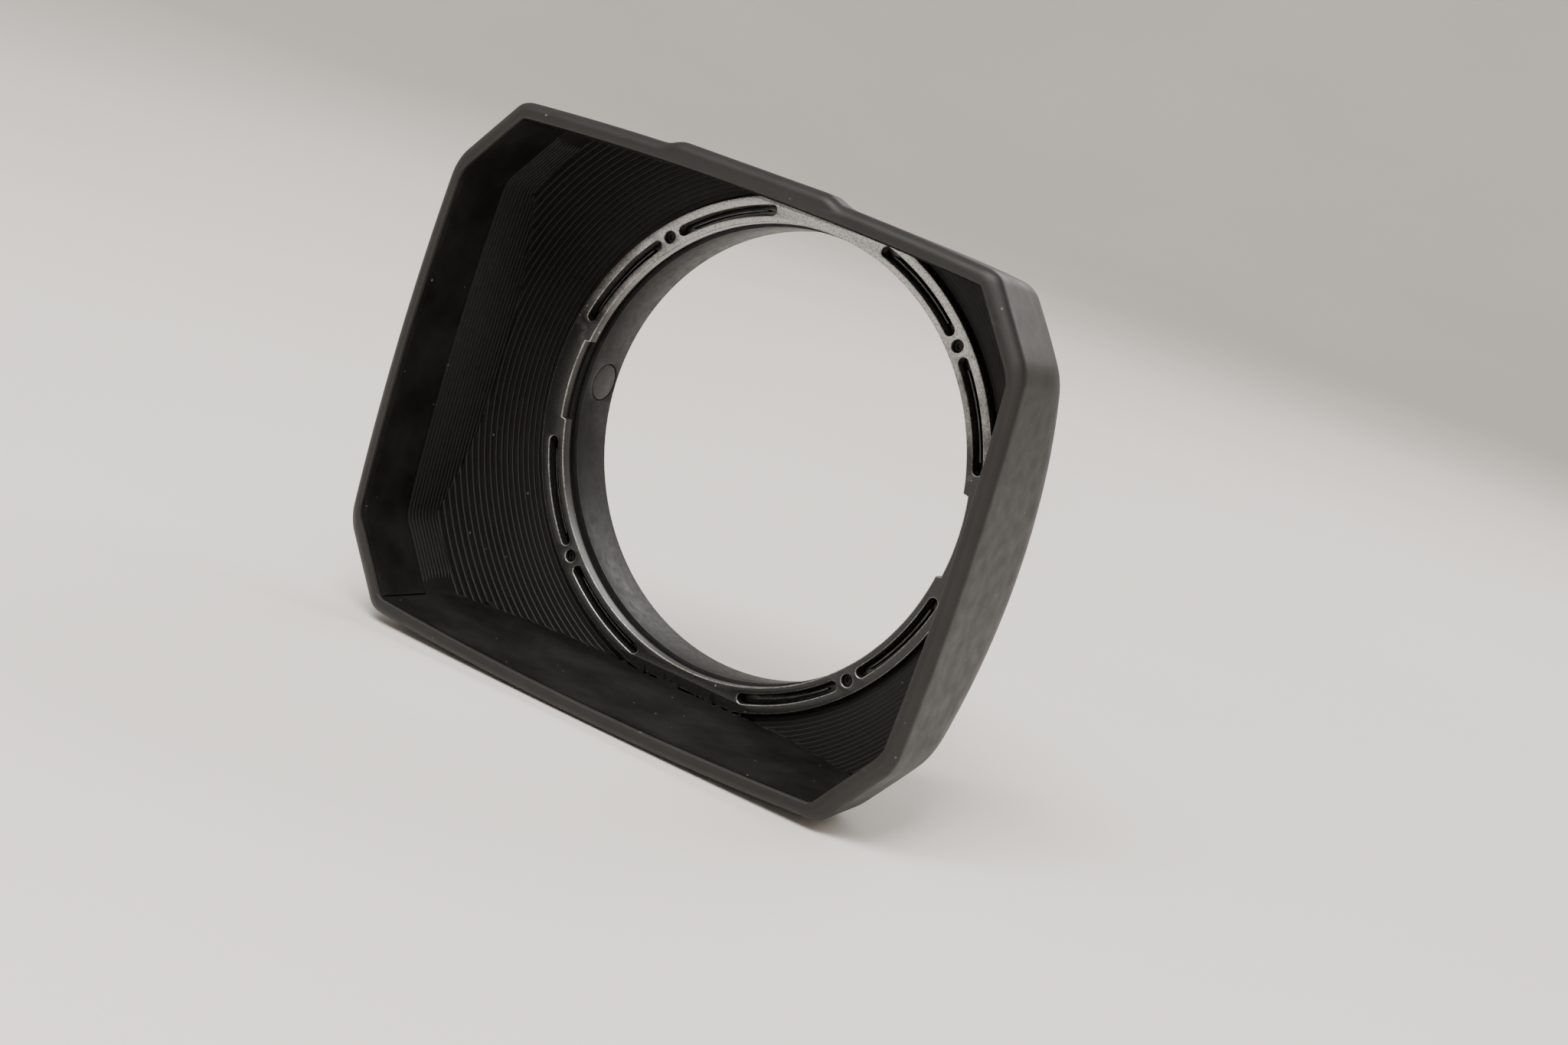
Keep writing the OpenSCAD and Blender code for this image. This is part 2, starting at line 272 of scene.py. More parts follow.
def shell_material():
    """Moulded black plastic: satin outside, matte inside, lighter along its edges from rubbed wear
    on the rim and painted highlight on the bowl's steps.
    """
    m = Nodes("shell_plastic", (0.012, 0.012, 0.0115), 0.5)
    inside = m.attribute("inside")
    cloud = m.noise(55, 4)
    outer_tone = m.ramp(cloud, (0.3, (0.0066, 0.0063, 0.006)), (0.7, (0.0105, 0.0101, 0.0095)))
    inner_tone = m.ramp(cloud, (0.3, (0.0036, 0.0036, 0.0035)), (0.7, (0.006, 0.0059, 0.0057)))
    tone = m.mix(inside, outer_tone, inner_tone)
    # Edges painted lighter: rubbed wear along the rim, painted highlight along the bowl's step
    # edges.
    tone = m.mix(m.math("MULTIPLY", m.attribute("worn"), 0.5), tone, (0.036, 0.035, 0.034))
    streaks = m.noise(1, 3, 0.5, at=m.scaled((90, 1500, 900)))
    scuffs = m.math("MULTIPLY", m.ramp(streaks, (0.66, 0.0), (0.72, 0.3)),
                    m.math("SUBTRACT", 1.0, inside))
    tone = m.mix(scuffs, tone, (0.03, 0.029, 0.028))
    dust = m.spots(420, 0.13, 0.05)
    m.color(m.mix(m.math("MULTIPLY", dust, 0.35), tone, (0.2, 0.19, 0.17)))
    soft = m.ramp(m.noise(240, 4), (0.3, 0.44), (0.7, 0.56))
    m.roughness(m.math("ADD", soft, m.math("MULTIPLY", inside, 0.08)))
    m.set(m.shader, "Specular IOR Level", m.ramp(inside, (0.0, 0.34), (1.0, 0.24)))
    m.bump(m.noise(5200, 2, 0.6), 0.02, 0.4)
    return m.material


def flock_material():
    """Very matte black flocking, cloudy, with a little dust caught in it."""
    m = Nodes("flock", (0.005, 0.005, 0.0048), 0.95)
    cloud = m.noise(70, 5, 0.6)
    tone = m.ramp(cloud, (0.36, (0.0036, 0.0036, 0.0035)), (0.64, (0.0115, 0.0112, 0.0107)))
    fuzz = m.noise(5200, 2, 0.7)
    tone = m.mix(m.ramp(fuzz, (0.45, 0.0), (0.8, 0.3)), tone, (0.016, 0.0155, 0.015))
    dust = m.spots(300, 0.1, 0.1)
    fibres = m.spots(900, 0.2, 0.015)
    tone = m.mix(m.math("MULTIPLY", dust, 0.35), tone, (0.3, 0.28, 0.26))
    m.color(m.mix(m.math("MULTIPLY", fibres, 0.4), tone, (0.2, 0.19, 0.17)))
    m.bump(fuzz, 0.05, 0.6)
    m.shader.inputs["Specular IOR Level"].default_value = 0.08
    return m.material


def ring_material():
    """Black finish, satin all round, rubbed thin towards the top and painted lighter there as a
    highlight, bare along its edges.
    """
    m = Nodes("worn_ring", (0.05, 0.05, 0.05), 0.36, 0.6)
    place = m.tree.nodes.new("ShaderNodeSeparateXYZ")
    m.set(place, 0, m.space)
    # Painted highlight as well as wear: the ring is made barer and brighter towards its top, where
    # the light falls on it.
    height = m.math("ADD", m.math("MULTIPLY", place.outputs["Z"], 8.0), 0.5)
    patches = m.noise(160, 4, 0.6)
    top_wear_and_highlight = m.math("ADD", height, m.math("MULTIPLY", patches, 0.3))
    top_wear_and_highlight = m.ramp(top_wear_and_highlight, (0.76, 0.0), (1.04, 0.8))
    speckle = m.noise(2600, 2, 0.6)
    dark = m.ramp(speckle, (0.35, (0.012, 0.012, 0.012)), (0.7, (0.028, 0.0275, 0.0265)))
    bright = m.ramp(speckle, (0.35, (0.2, 0.198, 0.192)), (0.6, (0.5, 0.495, 0.48)))
    nicks = m.math("MULTIPLY", m.spots(700, 0.22, 0.05), 0.7)
    edge = m.math("MULTIPLY", m.attribute("worn"), m.ramp(patches, (0.35, 0.35), (0.6, 0.9)))
    bare = m.math("MAXIMUM", m.math("MAXIMUM", top_wear_and_highlight, edge), nicks)
    m.color(m.mix(bare, dark, bright))
    m.roughness(m.ramp(speckle, (0.25, 0.28), (0.7, 0.4)))
    m.set(m.shader, "Metallic", m.ramp(bare, (0.0, 0.3), (1.0, 1.0)))
    m.bump(speckle, 0.012, 0.4)
    return m.material


def anodised(name, color, roughness, machined=0.35):
    """Dark anodised aluminium with fine turning marks."""
    m = Nodes(name, color, roughness, 0.85)
    light = tuple(c * 1.7 for c in color)
    cloud = m.noise(160, 4)
    tone = m.ramp(cloud, (0.3, color), (0.75, light))
    m.color(m.mix(m.math("MULTIPLY", m.attribute("worn"), 0.4), tone, (0.2, 0.2, 0.2)))
    m.roughness(m.ramp(m.noise(600, 3), (0.3, roughness - 0.06), (0.7, roughness + 0.08)))
    m.bump(m.noise(3800, 2, 0.5), 0.03, machined)
    return m.material


def steel_material(name, low, high, roughness):
    m = Nodes(name, high, roughness, 1.0)
    m.color(m.ramp(m.noise(500, 4), (0.3, low), (0.7, high)))
    m.roughness(m.ramp(m.noise(1400, 3), (0.3, roughness - 0.06), (0.7, roughness + 0.1)))
    m.bump(m.noise(4200, 2), 0.02, 0.4)
    return m.material


def locating_material():
    """Dark steel, bright along the edges of its tabs: painted highlight where the edges catch the
    light.
    """
    m = Nodes("dark_steel_edge_highlight", (0.3, 0.3, 0.3), 0.3, 1.0)
    dark_steel = m.ramp(m.noise(500, 4), (0.3, (0.03, 0.03, 0.03)), (0.7, (0.06, 0.06, 0.058)))
    # Tab edges painted bright steel: painted highlight.
    m.color(m.mix(m.attribute("worn"), dark_steel, (0.62, 0.615, 0.6)))
    m.roughness(m.ramp(m.noise(1400, 3), (0.3, 0.26), (0.7, 0.4)))
    m.bump(m.noise(4200, 2), 0.02, 0.3)
    return m.material


def nylon_material():
    m = Nodes("nylon", (0.02, 0.02, 0.02), 0.5)
    m.color(m.ramp(m.noise(260, 4), (0.3, (0.007, 0.007, 0.007)), (0.7, (0.013, 0.013, 0.0125))))
    m.roughness(m.ramp(m.noise(900, 3), (0.3, 0.42), (0.7, 0.56)))
    m.bump(m.noise(2600, 2), 0.03, 0.4)
    return m.material


MATERIALS = {
    "shell_plastic": shell_material(),
    "flock": flock_material(),
    "worn_ring": ring_material(),
    "black_aluminium": anodised("black_aluminium", (0.02, 0.02, 0.021), 0.5),
    "knob_aluminium": anodised("knob_aluminium", (0.03, 0.03, 0.031), 0.36),
    "knob_cap_aluminium": anodised("knob_cap_aluminium", (0.06, 0.06, 0.062), 0.3),
    "bright_steel": steel_material("bright_steel", (0.4, 0.4, 0.4), (0.62, 0.62, 0.61), 0.28),
    "black_steel": steel_material("black_steel", (0.012, 0.012, 0.012), (0.024, 0.024, 0.024), 0.42),
    "bushing_brass": steel_material("bushing_brass", (0.5, 0.34, 0.12), (0.72, 0.52, 0.22), 0.3),
    "nylon": nylon_material(),
}
NODE_SLOT = {s["node"]: s["material_slot"] for s in frame["record"]["subparts"]}
NODE_BODY = {node: body for body, nodes in frame["record"]["behaviour"]["bodies"].items()
             for node in nodes}

NODE_LOOK = {node: MATERIALS[slot] for node, slot in NODE_SLOT.items()}
NODE_LOOK["locating_ring"] = locating_material()

for name, obj in frame["nodes"].items():
    for holder in obj.material_slots:
        holder.material = NODE_LOOK[name]


# ---------------------------------------------------------------- mesh helpers

def finish_piece(mesh, name, stands_for, sharp=35):
    """Shades a mesh, gives it its slot's material and puts it on its node's body."""
    node = stands_for[0]
    for polygon in mesh.polygons:
        polygon.use_smooth = True
    mesh.set_sharp_from_angle(angle=math.radians(sharp))
    piece = bpy.data.objects.new(name, mesh)
    bpy.context.scene.collection.objects.link(piece)
    mesh.materials.clear()
    mesh.materials.append(NODE_LOOK[node])
    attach(piece, NODE_BODY[node])
    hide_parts(*stands_for)
    return piece


def cleaned(mesh, merge_mm=0.002):
    bm = bmesh.new()
    bm.from_mesh(mesh)
    bmesh.ops.remove_doubles(bm, verts=bm.verts, dist=merge_mm * MM)
    bmesh.ops.dissolve_degenerate(bm, edges=bm.edges, dist=merge_mm * MM)
    bmesh.ops.recalc_face_normals(bm, faces=bm.faces)
    bm.to_mesh(mesh)
    bm.free()
    return mesh


def loop_mesh(name, points, **layers):
    """Closed mesh from points[row, column] in mm, joined round in both directions."""
    rows, columns = points.shape[:2]
    index = np.arange(rows * columns).reshape(rows, columns)
    down = np.roll(index, -1, 0)
    faces = np.stack([index, down, np.roll(down, -1, 1), np.roll(index, -1, 1)], -1)
    mesh = bpy.data.meshes.new(name)
    mesh.from_pydata((points.reshape(-1, 3) * MM).tolist(), [], faces.reshape(-1, 4).tolist())
    for layer_name, values in layers.items():
        layer = mesh.attributes.new(layer_name, "FLOAT", "POINT")
        layer.data.foreach_set("value", values.reshape(-1).astype(np.float32))
    return cleaned(mesh)


# ---------------------------------------------------------------- hood shell

def soft_min(a, b, width):
    """Smaller of a and b, rounded off where they are within width of each other."""
    gap = np.maximum(width - np.abs(a - b), 0) / width
    return np.minimum(a, b) - gap * gap * width / 4


def bowed_reach(cos_a, sin_a, dist, bow_r):
    """Ray from the axis to a bowed wall, dist away; cos_a is along the wall's normal."""
    centre = dist - bow_r
    return centre * cos_a + np.sqrt(bow_r ** 2 - (centre * sin_a) ** 2)


def octagon(angle, y, w, h, cut_x, cut_z, side_taper, top_taper, soft):
    """Distance from the axis to the octagonal wall at an angle and a depth."""
    back = y - RIM_Y
    c, s = np.abs(np.cos(angle)), np.abs(np.sin(angle))
    side = bowed_reach(c, s, w - back * tan_d(side_taper), SIDE_BOW_R)
    top = bowed_reach(s, c, h - back * tan_d(top_taper), TOP_BOW_R)
    corner = math.atan2(cut_x, cut_z)
    dist = (w - SIDE_BOW) * math.cos(corner) + (h - TOP_BOW - cut_z) * math.sin(corner)
    cut = (dist - back * tan_d(side_taper)) / (c * math.cos(corner) + s * math.sin(corner))
    return soft_min(soft_min(side, cut, soft), top, soft)


def inner_wall(angle, y, inset=0.0):
    return octagon(angle, y, HALF_W - SIDE_RIM - inset, HALF_H - TOP_RIM - inset,
                   INNER_CUT_X, INNER_CUT_Z, INNER_SIDE_TAPER, INNER_TOP_TAPER, INNER_SOFT)


def outer_wall(angle, y, inset=0.0):
    r = octagon(angle, y, HALF_W - inset, HALF_H - inset, CORNER_X, CORNER_Z,
                OUTER_TAPER, OUTER_TAPER, OUTER_SOFT)
    x = np.abs(r * np.cos(angle))
    slope = np.clip((PAD_FOOT - x) / (PAD_FOOT - PAD_HALF), 0, 1)
    slope = slope * slope * (3 - 2 * slope)
    ends = np.clip((RIM_Y + PAD_DEPTH - y) / 1.5, 0, 1)
    rise = np.where(np.sin(angle) > 0.5, (PAD_RISE + TOP_BOW * (x / FLAT_X) ** 2) * slope * ends, 0)
    return r + rise / np.maximum(np.abs(np.sin(angle)), 0.3)


def ring_angles():
    """Angles round the hood: even steps, with finer ones near the octagon's corners."""
    fine = []
    for w, h, cx, cz in ((HALF_W, HALF_H, CORNER_X, CORNER_Z),
                         (HALF_W - SIDE_RIM, HALF_H - TOP_RIM, INNER_CUT_X, INNER_CUT_Z)):
        for x, z in ((w - SIDE_BOW, h - TOP_BOW - cz), (w - SIDE_BOW - cx, h - TOP_BOW)):
            near = math.atan2(z, x)
            for sx in (1, -1):
                for sz in (1, -1):
                    at = math.atan2(sz * math.sin(near), sx * math.cos(near))
                    fine += [at + math.radians(k * 0.35) for k in range(-5, 6)]
    even = [math.radians(k) for k in range(360)]
    both = np.sort(np.mod(np.array(even + fine), 2 * math.pi))
    keep = [both[0]]
    for a in both[1:]:
        if a - keep[-1] > math.radians(0.17):
            keep.append(a)
    return np.array(keep)


def staircase():
    """Radii and depths of the inner face's profile, from the bore outwards."""
    profile = [(BORE_R, SEAT_Y + 0.3), (BORE_R + 0.3, SEAT_Y), (GROOVE[0], SEAT_Y),
               (GROOVE[0], SEAT_Y + GROOVE_DEPTH), (GROOVE[1], SEAT_Y + GROOVE_DEPTH),
               (GROOVE[1], SEAT_Y), (BOWL_R0, SEAT_Y)]
    worn = [0.0] * len(profile)
    for i in range(STEPS):
        r = BOWL_R0 + i * STEP_PITCH
        y = bowl_y(r + STEP_PITCH / 2)
        profile += [(r, y + STEP_EDGE), (r + STEP_EDGE, y),
                    (r + 2 * STEP_EDGE, y), (r + STEP_PITCH, y)]
        # The first two rows of each step are its bevel, marked to be painted lighter: painted
        # highlight along the step edges.
        worn += [1.0, 1.0, 0.0, 0.0]
    return profile, worn


def rear_rows(angles):
    """Rows of the outside behind the rim, rounded over where the walls meet the rear face."""
    reaches = [(r, bowl_y(r - 1.6) + SHELL_WALL) for r in np.arange(66.0, 112.0, 1.0)]
    rows = []
    for back in (5, 7.2, 7.8, 8.4, 9.2):
        y = np.full(len(angles), RIM_Y + back)
        rows.append((outer_wall(angles, y), y))
    for r, y in reversed(reaches):
        if y > RIM_Y + 10:
            y_all = np.full(len(angles), y)
            rows.append((soft_min(outer_wall(angles, y_all), r, REAR_ROUND), y_all))
    for inset, y in ((0.0, FLANGE_Y - 0.15), (SEAT_BEVEL, FLANGE_Y)):
        y_all = np.full(len(angles), y)
        r = SEAT_R + SEAT_BEVEL - inset
        rows.append((soft_min(outer_wall(angles, y_all, inset), r, 0.5), y_all))
    rows.append((np.full(len(angles), BORE_R), np.full(len(angles), FLANGE_Y)))
    return rows


def clipped(profile, wall, angles):
    """The profile at every angle, with what lies past the wall pulled to where they meet."""
    meet_r = np.zeros(len(angles))
    meet_y = np.zeros(len(angles))
    done = np.zeros(len(angles), bool)
    rows = []
    before_r, before_y = profile[0]
    before_gap = wall(angles, before_y) - before_r
    for r, y in profile:
        gap = wall(angles, y) - r
        share = np.clip(before_gap / np.maximum(before_gap - gap, 1e-9), 0, 1)
        new = (gap < 0) & ~done
        meet_r = np.where(new, before_r + (r - before_r) * share, meet_r)
        meet_y = np.where(new, before_y + (y - before_y) * share, meet_y)
        done |= new
        rows.append((np.where(done, meet_r, r), np.where(done, meet_y, y)))
        before_r, before_y, before_gap = r, y, gap
    return rows, meet_y


def rib_rows(angles, meet_y):
    """Rows over the ribs of the side walls, from the last rib forward."""
    rows = []
    for i in reversed(range(RIBS)):
        start = RIM_Y + RIB_START + i * RIB_PITCH
        for share, height in ((0.62, 0), (0.5, 1), (0.12, 1), (0, 0)):
            y = start + share * RIB_PITCH
            r = inner_wall(angles, y)
            on_rib = np.abs(r * np.cos(angles)) > FLAT_X - 1
            inset = np.where(on_rib, height * RIB_HEIGHT, 0)
            past = y > meet_y
            y_here = np.where(past, meet_y, y)
            rows.append((inner_wall(angles, y_here) - np.where(past, 0, inset), y_here))
    return rows


def shell_rows(angles):
    """Every row of the shell: out along the bowl, forward over the walls and back again.

    Each row also says how much edge wear and painted edge highlight it gets, and whether it lies
    inside the hood."""
    profile, worn = staircase()
    rows, meet_y = clipped(profile, inner_wall, angles)
    inside = [1.0] * len(rows)
    rows += rib_rows(angles, meet_y)
    # The ribs get a value part way to the outside: a glossier finish, and a lighter tone that is
    # painted highlight on the lit ribs.
    inside += [0.7] * (len(rows) - len(inside))
    for back in (14, 10, 6, 3, 1.4):
        rows.append((inner_wall(angles, RIM_Y + back), np.full(len(angles), RIM_Y + back)))
    inside += [1.0] * (len(rows) - len(inside))
    worn += [0.0] * (len(rows) - len(worn))
    for k in range(5):
        turn = math.radians(k * 22.5)
        r = inner_wall(angles, RIM_Y, -LIP * (1 - math.cos(turn)))
        rows.append((r, np.full(len(angles), RIM_Y + LIP * (1 - math.sin(turn)))))
        worn.append(0.6 if 0 < k < 4 else 0.0)
        inside.append(0.0)
    for k in range(11):
        turn = math.radians(90 - k * 9)
        y = RIM_Y + RIM_ROUND * (1 - math.sin(turn))
        rows.append((outer_wall(angles, y, RIM_ROUND * (1 - math.cos(turn))),
                     np.full(len(angles), y)))
        worn.append(0.35 if 2 < k < 7 else 0.0)
        inside.append(0.0)
    rear = rear_rows(angles)
    rows += rear
    worn += [0.0] * len(rear)
    inside += [0.0] * len(rear)
    return rows, worn, inside


def build_shell():
    angles = ring_angles()
    rows, worn, inside = shell_rows(angles)
    r = np.array([row[0] for row in rows])
    y = np.array([row[1] for row in rows])
    points = np.stack([r * np.cos(angles), y, r * np.sin(angles)], -1)
    mesh = loop_mesh("hood_shell_detail", points,
                     worn=np.repeat(np.array(worn)[:, None], len(angles), 1),
                     inside=np.repeat(np.array(inside)[:, None], len(angles), 1))
    finish_piece(mesh, "hood_shell_detail", ["hood_shell"], 28)


build_shell()


# ---------------------------------------------------------------- flocked liners

def sheet_mesh(name, front, back):
    """Closed thin sheet between two grids of points in mm, both [row, column, xyz]."""
    rows, columns = front.shape[:2]
    count = rows * columns
    index = np.arange(count).reshape(rows, columns)
    quads = np.stack([index[:-1, :-1], index[1:, :-1], index[1:, 1:], index[:-1, 1:]], -1)
    quads = quads.reshape(-1, 4)
    faces = quads.tolist() + (quads[:, ::-1] + count).tolist()
    border = np.concatenate([index[0, :], index[1:, -1], index[-1, -2::-1], index[-2:0:-1, 0]])
    for a, b in zip(border, np.roll(border, -1)):
        faces.append([int(a), int(b), int(b) + count, int(a) + count])
    mesh = bpy.data.meshes.new(name)
    points = np.concatenate([front.reshape(-1, 3), back.reshape(-1, 3)]) * MM
    mesh.from_pydata(points.tolist(), [], faces)
    return cleaned(mesh, 0.0005)


def wavy(x, y, z, scale, amount):
    """Smooth random height, the same every run."""
    return noise.noise(Vector((x / scale, y / scale, z / scale))) * amount


def wide_liner(name, side):
    """Flocked sheet on the top (side 1) or bottom (side -1) wall."""
    across = np.linspace(-1, 1, 221)
    along = np.linspace(0, 1, 61)
    front = np.zeros((len(along), len(across), 3))
    back = np.zeros_like(front)
    for j, u in enumerate(across):
        y_end = RING_Y
        for _ in range(12):
            x = u * liner_half(y_end)
            z = wide_wall(x, y_end)
            y_end = min(bowl_y(max(math.hypot(x, z), BOWL_FOOT)) - 1, RING_Y + 1)
        ragged = wavy(x, 0, side * 50, 3.0, 0.5) + wavy(x, 9, side * 50, 0.9, 0.35)
        if side < 0 and abs(x) < FRAYED:
            ragged -= 0.3 + abs(wavy(x, 4, 7, 4.5, 2.2)) + abs(wavy(x, 2, 3, 1.1, 1.0))
        y_end += min(ragged, 0) - 0.1
        start = RIM_Y + LINER_START
        for i, share in enumerate(along):
            y = start + (y_end - start) * share
            x = u * liner_half(y)
            wall = wide_wall(x, y)
            lift = abs(wavy(x, y, side * 9, 11.0, 0.12)) + wavy(x, y, side * 4, 1.2, 0.03)
            lift = min(max(lift, 0), 0.16)
            edge = min(share * (y_end - start), (1 - share) * (y_end - start),
                       liner_half(y) * (1 - abs(u)))
            thick = LINER_T * (0.45 + 0.55 * min(edge / 0.4, 1)) - lift
            if side < 0 and abs(x) < FRAYED:
                tuft = max(wavy(x, 5, 5, 1.5, 4.5), 0) * math.exp((y - y_end) / 0.9)
                thick += tuft * min(1, (FRAYED - abs(x)) / 3)
            front[i, j] = (x, y, side * (wall - max(thick, 0.1)))
            back[i, j] = (x, y, side * (wall - 0.02))
    mesh = sheet_mesh(name + "_detail", front, back)
    finish_piece(mesh, name + "_detail", [name], 50)


def wide_wall(x, y):
    """Height of the top wall's inner face over the axis."""
    dist = HALF_H - TOP_RIM - (y - RIM_Y) * tan_d(INNER_TOP_TAPER)
    return dist - TOP_BOW_R + math.sqrt(TOP_BOW_R ** 2 - x * x)


def corner_x(y):
    """Half width of the top wall's inner face, where it meets the cut corners."""
    w, h = HALF_W - SIDE_RIM - SIDE_BOW, HALF_H - TOP_RIM - TOP_BOW
    cut = math.atan2(INNER_CUT_X, INNER_CUT_Z)
    back = y - RIM_Y
    dist = w * math.cos(cut) + (h - INNER_CUT_Z) * math.sin(cut) - back * tan_d(INNER_SIDE_TAPER)
    return (dist - (h - back * tan_d(INNER_TOP_TAPER)) * math.sin(cut)) / math.cos(cut)


def liner_half(y):
    return corner_x(y) - 0.6


def side_liner(name, side):
    """Flocked strip round a side wall and its two corners, from the rim to the first rib."""
    reach = math.atan2(HALF_H - TOP_RIM - TOP_BOW, corner_x(RIM_Y) - 0.2)
    across = np.linspace(-reach, reach, 321)
    start, end = RIM_Y + LINER_START, RIM_Y + RIB_START - 0.6
    along = np.linspace(0, 1, 31)
    facing = across if side > 0 else math.pi - across
    front = np.zeros((len(along), len(across), 3))
    back = np.zeros_like(front)
    for j, a in enumerate(facing):
        y_end = end + min(wavy(a * 60, side * 20, 5, 2.5, 0.25), 0)
        for i, share in enumerate(along):
            y = start + (y_end - start) * share
            wall = float(inner_wall(a, y))
            lift = abs(wavy(a * 60, y, side * 9, 11.0, 0.12)) + wavy(a * 60, y, side * 4, 1.2, 0.03)
            lift = min(max(lift, 0), 0.16)
            edge = min(share * (y_end - start), (1 - share) * (y_end - start))
            thick = max(LINER_T * (0.45 + 0.55 * min(edge / 0.4, 1)) - lift, 0.1)
            front[i, j] = ((wall - thick) * math.cos(a), y, (wall - thick) * math.sin(a))
            back[i, j] = ((wall - 0.02) * math.cos(a), y, (wall - 0.02) * math.sin(a))
    mesh = sheet_mesh(name + "_detail", front, back)
    finish_piece(mesh, name + "_detail", [name], 50)


wide_liner("liner_top", 1)
wide_liner("liner_bottom", -1)
side_liner("liner_left", -1)
side_liner("liner_right", 1)


# ---------------------------------------------------------------- mount ring

def polar(r, a):
    return (r * math.cos(math.radians(a)), r * math.sin(math.radians(a)))


def outline_outer():
    """The ring's outside: a circle cut flat at the top and the bottom."""
    points = []
    for k in range(720):
        x, z = polar(RING_R, k * 0.5)
        points.append((x, max(-RING_FLAT, min(RING_FLAT, z))))
    return points


def outline_bore():
    """The ring's bore, with a shallow notch at either side."""
    points = []
    for k in range(720):
        a = k * 0.5
        from_side = min(abs((a + 90) % 180 - 90), 90)
        points.append(polar(RING_BORE + (NOTCH_DEEP if from_side < NOTCH_HALF else 0), a))
    return points


def outline_slot(middle, half_span):
    """A round-ended arc slot."""
    end_span = math.degrees(math.asin(SLOT_W / 2 / SLOT_R))
    reach = half_span - end_span
    points = []
    for k in range(33):
        points.append(polar(SLOT_R + SLOT_W / 2, middle - reach + k * reach / 16))
    cx, cz = polar(SLOT_R, middle + reach)
    for k in range(1, 12):
        dx, dz = polar(SLOT_W / 2, middle + reach + k * 15)
        points.append((cx + dx, cz + dz))
    for k in range(33):
        points.append(polar(SLOT_R - SLOT_W / 2, middle + reach - k * reach / 16))
    cx, cz = polar(SLOT_R, middle - reach)
    for k in range(1, 12):
        dx, dz = polar(SLOT_W / 2, middle - reach + 180 + k * 15)
        points.append((cx + dx, cz + dz))
    return points


def outline_circle(x, z, r, count=32):
    return [(x + r * math.cos(2 * math.pi * k / count), z + r * math.sin(2 * math.pi * k / count))
            for k in range(count)]


def plate_mesh(name, outlines, y_front, y_back, bevel):
    """Flat plate with rounded edges, cut to outlines in mm; the first is the outside."""
    curve = bpy.data.curves.new(name, "CURVE")
    curve.dimensions = "2D"
    curve.fill_mode = "BOTH"
    curve.extrude = ((y_back - y_front) / 2 - bevel) * MM
    curve.bevel_depth = bevel * MM
    curve.bevel_resolution = 2
    curve.offset = -bevel * MM
    for outline in outlines:
        spline = curve.splines.new("POLY")
        spline.points.add(len(outline) - 1)
        for point, (x, z) in zip(spline.points, outline):
            point.co = (x * MM, z * MM, 0, 1)
        spline.use_cyclic_u = True
    holder = bpy.data.objects.new(name, curve)
    bpy.context.scene.collection.objects.link(holder)
    bpy.context.view_layer.update()
    graph = bpy.context.evaluated_depsgraph_get()
    mesh = bpy.data.meshes.new_from_object(holder.evaluated_get(graph))
    bpy.data.objects.remove(holder)
    stand = Matrix.Translation((0, (y_front + y_back) / 2 * MM, 0)) @ Matrix.Rotation(
        math.radians(90), 4, "X")
    mesh.transform(stand)
    mesh.name = name
    return cleaned(mesh, 0.0005)


def build_mount_ring():
    outlines = [outline_outer(), outline_bore()]
    middle = (SLOT_NEAR + SLOT_FAR) / 2
    for a in SCREW_ANGLES:
        for side in (-1, 1):
            outlines.append(outline_slot(a + side * middle, (SLOT_FAR - SLOT_NEAR) / 2))
        outlines.append(outline_circle(*polar(SCREW_R, a), 1.5))
    mesh = plate_mesh("mount_ring_detail", outlines, RING_Y, SEAT_Y, 0.25)
    layer = mesh.attributes.new("worn", "FLOAT", "FACE")
    for polygon, value in zip(mesh.polygons, layer.data):
        behind = polygon.center.y / MM - RING_Y
        value.value = 1.0 if 0.01 < behind < 0.25 else 0.0
    finish_piece(mesh, "mount_ring_detail", ["mount_ring"], 40)


build_mount_ring()


# ---------------------------------------------------------------- rear pieces

def bevelled(node, width, sharp=35):
    """The node's own shape with its hard edges rounded off."""
    source = frame["nodes"][node]
    bm = bmesh.new()
    bm.from_mesh(source.data)
    bmesh.ops.remove_doubles(bm, verts=bm.verts, dist=0.001 * MM)
    bmesh.ops.dissolve_limit(bm, angle_limit=math.radians(0.5), verts=bm.verts, edges=bm.edges)
    hard = [e for e in bm.edges if len(e.link_faces) == 2
            and e.calc_face_angle(0) > math.radians(sharp)]
    layer = bm.faces.layers.float.new("worn")
    made = bmesh.ops.bevel(bm, geom=hard, offset=width * MM, offset_type="OFFSET", segments=2,
                           profile=0.5, affect="EDGES", clamp_overlap=True)
    for face in made["faces"]:
        face[layer] = 1.0
    bmesh.ops.triangulate(bm, faces=bm.faces)
    name = node + "_detail"
    mesh = bpy.data.meshes.new(name)
    bm.to_mesh(mesh)
    bm.free()
    finish_piece(mesh, name, [node], 28)


for node, width in (("clamp_collar", 0.3), ("clamp_knob", 0.12), ("knob_cap", 0.15),
                    ("locating_ring", 0.1), ("knob_washer", 0.1), ("ring_screws", 0.05),
                    ("clamp_bushing", 0.1), ("grip_pads", 0.12), ("pressure_shoe", 0.12)):
    bevelled(node, width)


# ---------------------------------------------------------------- studio

def studio_material():
    m = Nodes("studio_floor", (0.8, 0.77, 0.73), 0.9)
    m.color(m.ramp(m.noise(3, 2), (0.3, (0.78, 0.75, 0.71)), (0.7, (0.82, 0.79, 0.75))))
    return m.material


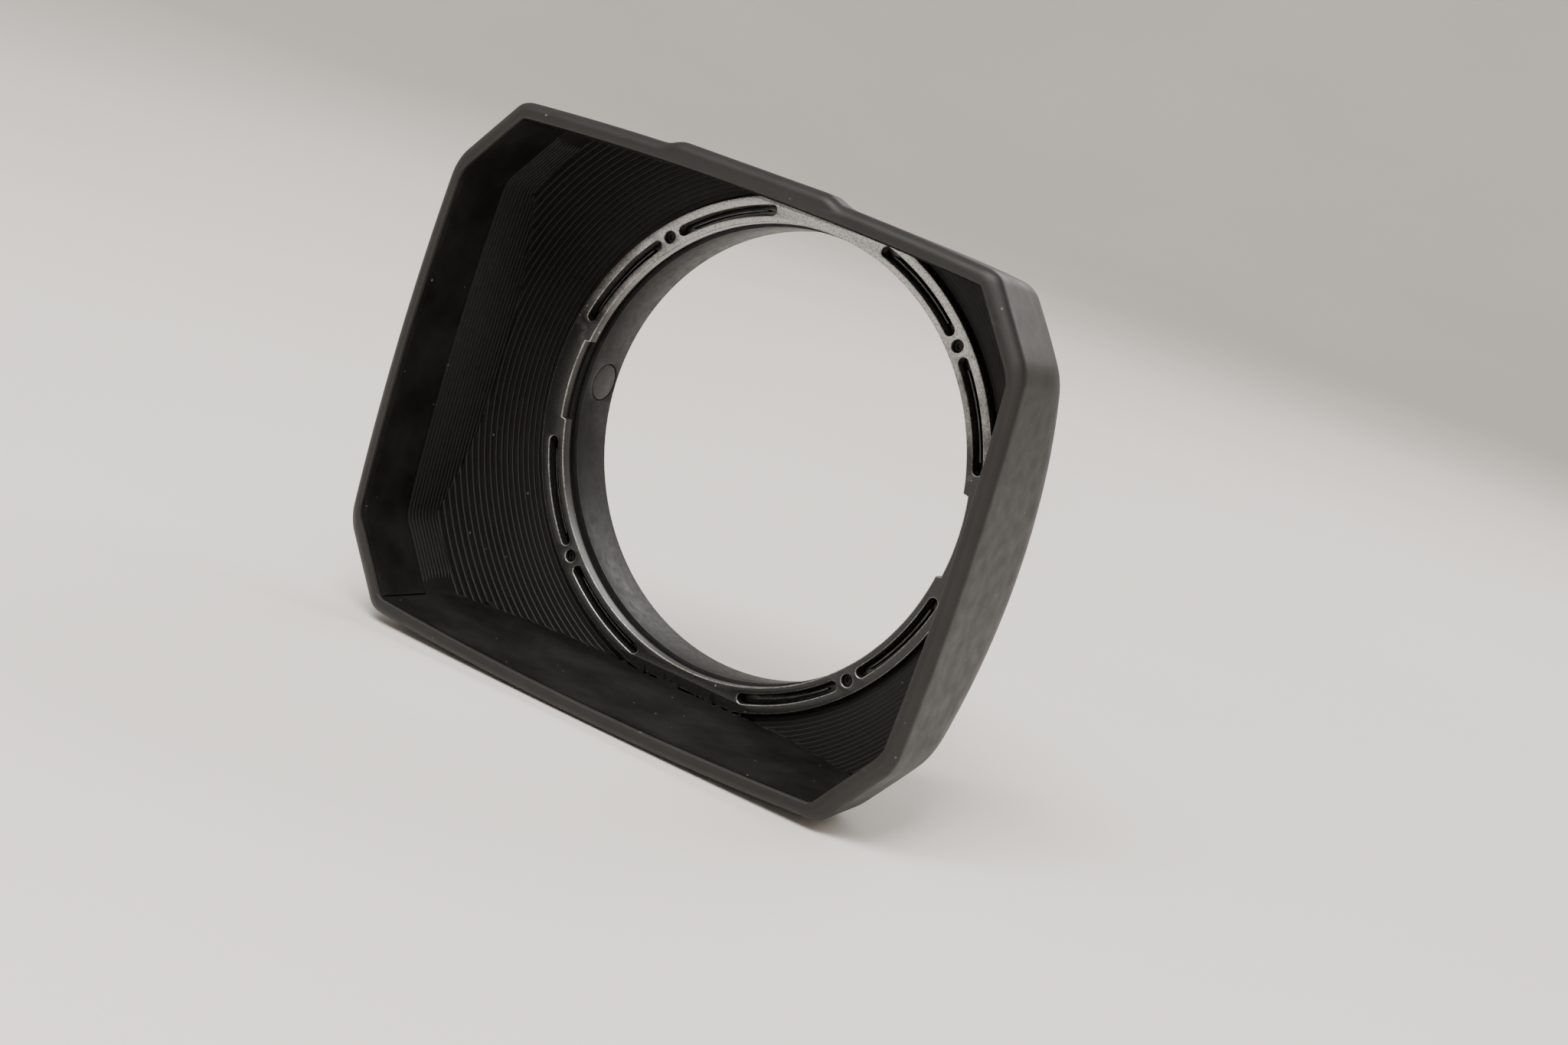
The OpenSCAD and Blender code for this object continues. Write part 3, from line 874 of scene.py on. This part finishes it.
def build_floor():
    """Pale floor that rises into a round wall a long way off, so no horizon shows."""
    z0 = cad_low.z
    profile = [(0.0, 0.0), (0.4, 0.0), (1.2, 0.0), (2.0, 0.0)]
    bend = 1.4
    for k in range(1, 13):
        turn = math.radians(k * 7.5)
        profile.append((2.0 + bend * math.sin(turn), bend * (1 - math.cos(turn))))
    profile.append((3.4, 3.2))
    bm = bmesh.new()
    count = 96
    rings = []
    for r, z in profile[1:]:
        rings.append([bm.verts.new((r * math.cos(2 * math.pi * k / count),
                                    r * math.sin(2 * math.pi * k / count), z0 + z))
                      for k in range(count)])
    bm.faces.new(rings[0])
    for low, high in zip(rings, rings[1:]):
        for k in range(count):
            n = (k + 1) % count
            bm.faces.new((low[k], high[k], high[n], low[n]))
    mesh = bpy.data.meshes.new("studio_floor")
    bm.to_mesh(mesh)
    bm.free()
    for polygon in mesh.polygons:
        polygon.use_smooth = True
    mesh.materials.append(studio_material())
    floor = bpy.data.objects.new("studio_floor", mesh)
    bpy.context.scene.collection.objects.link(floor)


def add_light(name, at, size, watts, color, aim=(0, -0.035, 0)):
    data = bpy.data.lights.new(name, "AREA")
    data.shape = "RECTANGLE"
    data.size, data.size_y = size
    data.energy = watts
    data.color = color
    light = bpy.data.objects.new(name, data)
    light.location = at
    light.rotation_euler = (Vector(aim) - Vector(at)).to_track_quat("-Z", "Y").to_euler()
    bpy.context.scene.collection.objects.link(light)


def build_studio():
    build_floor()
    world = bpy.data.worlds.new("studio")
    world.use_nodes = True
    world.node_tree.nodes["Background"].inputs["Color"].default_value = (1, 0.98, 0.95, 1)
    world.node_tree.nodes["Background"].inputs["Strength"].default_value = 0.62
    bpy.context.scene.world = world
    add_light("key", (0.1, -1.0, 1.35), (1.0, 0.8), 44, (1, 0.97, 0.93))
    add_light("fill", (1.2, -0.6, 0.6), (1.0, 0.8), 0.8, (1, 0.82, 0.68))
    add_light("back", (0.2, 1.1, 0.9), (1.2, 0.6), 14, (1, 0.98, 0.96))
    add_light("low_front", (-0.75, -1.35, 0.12), (0.5, 0.3), 1.5, (1, 0.98, 0.96))


build_studio()
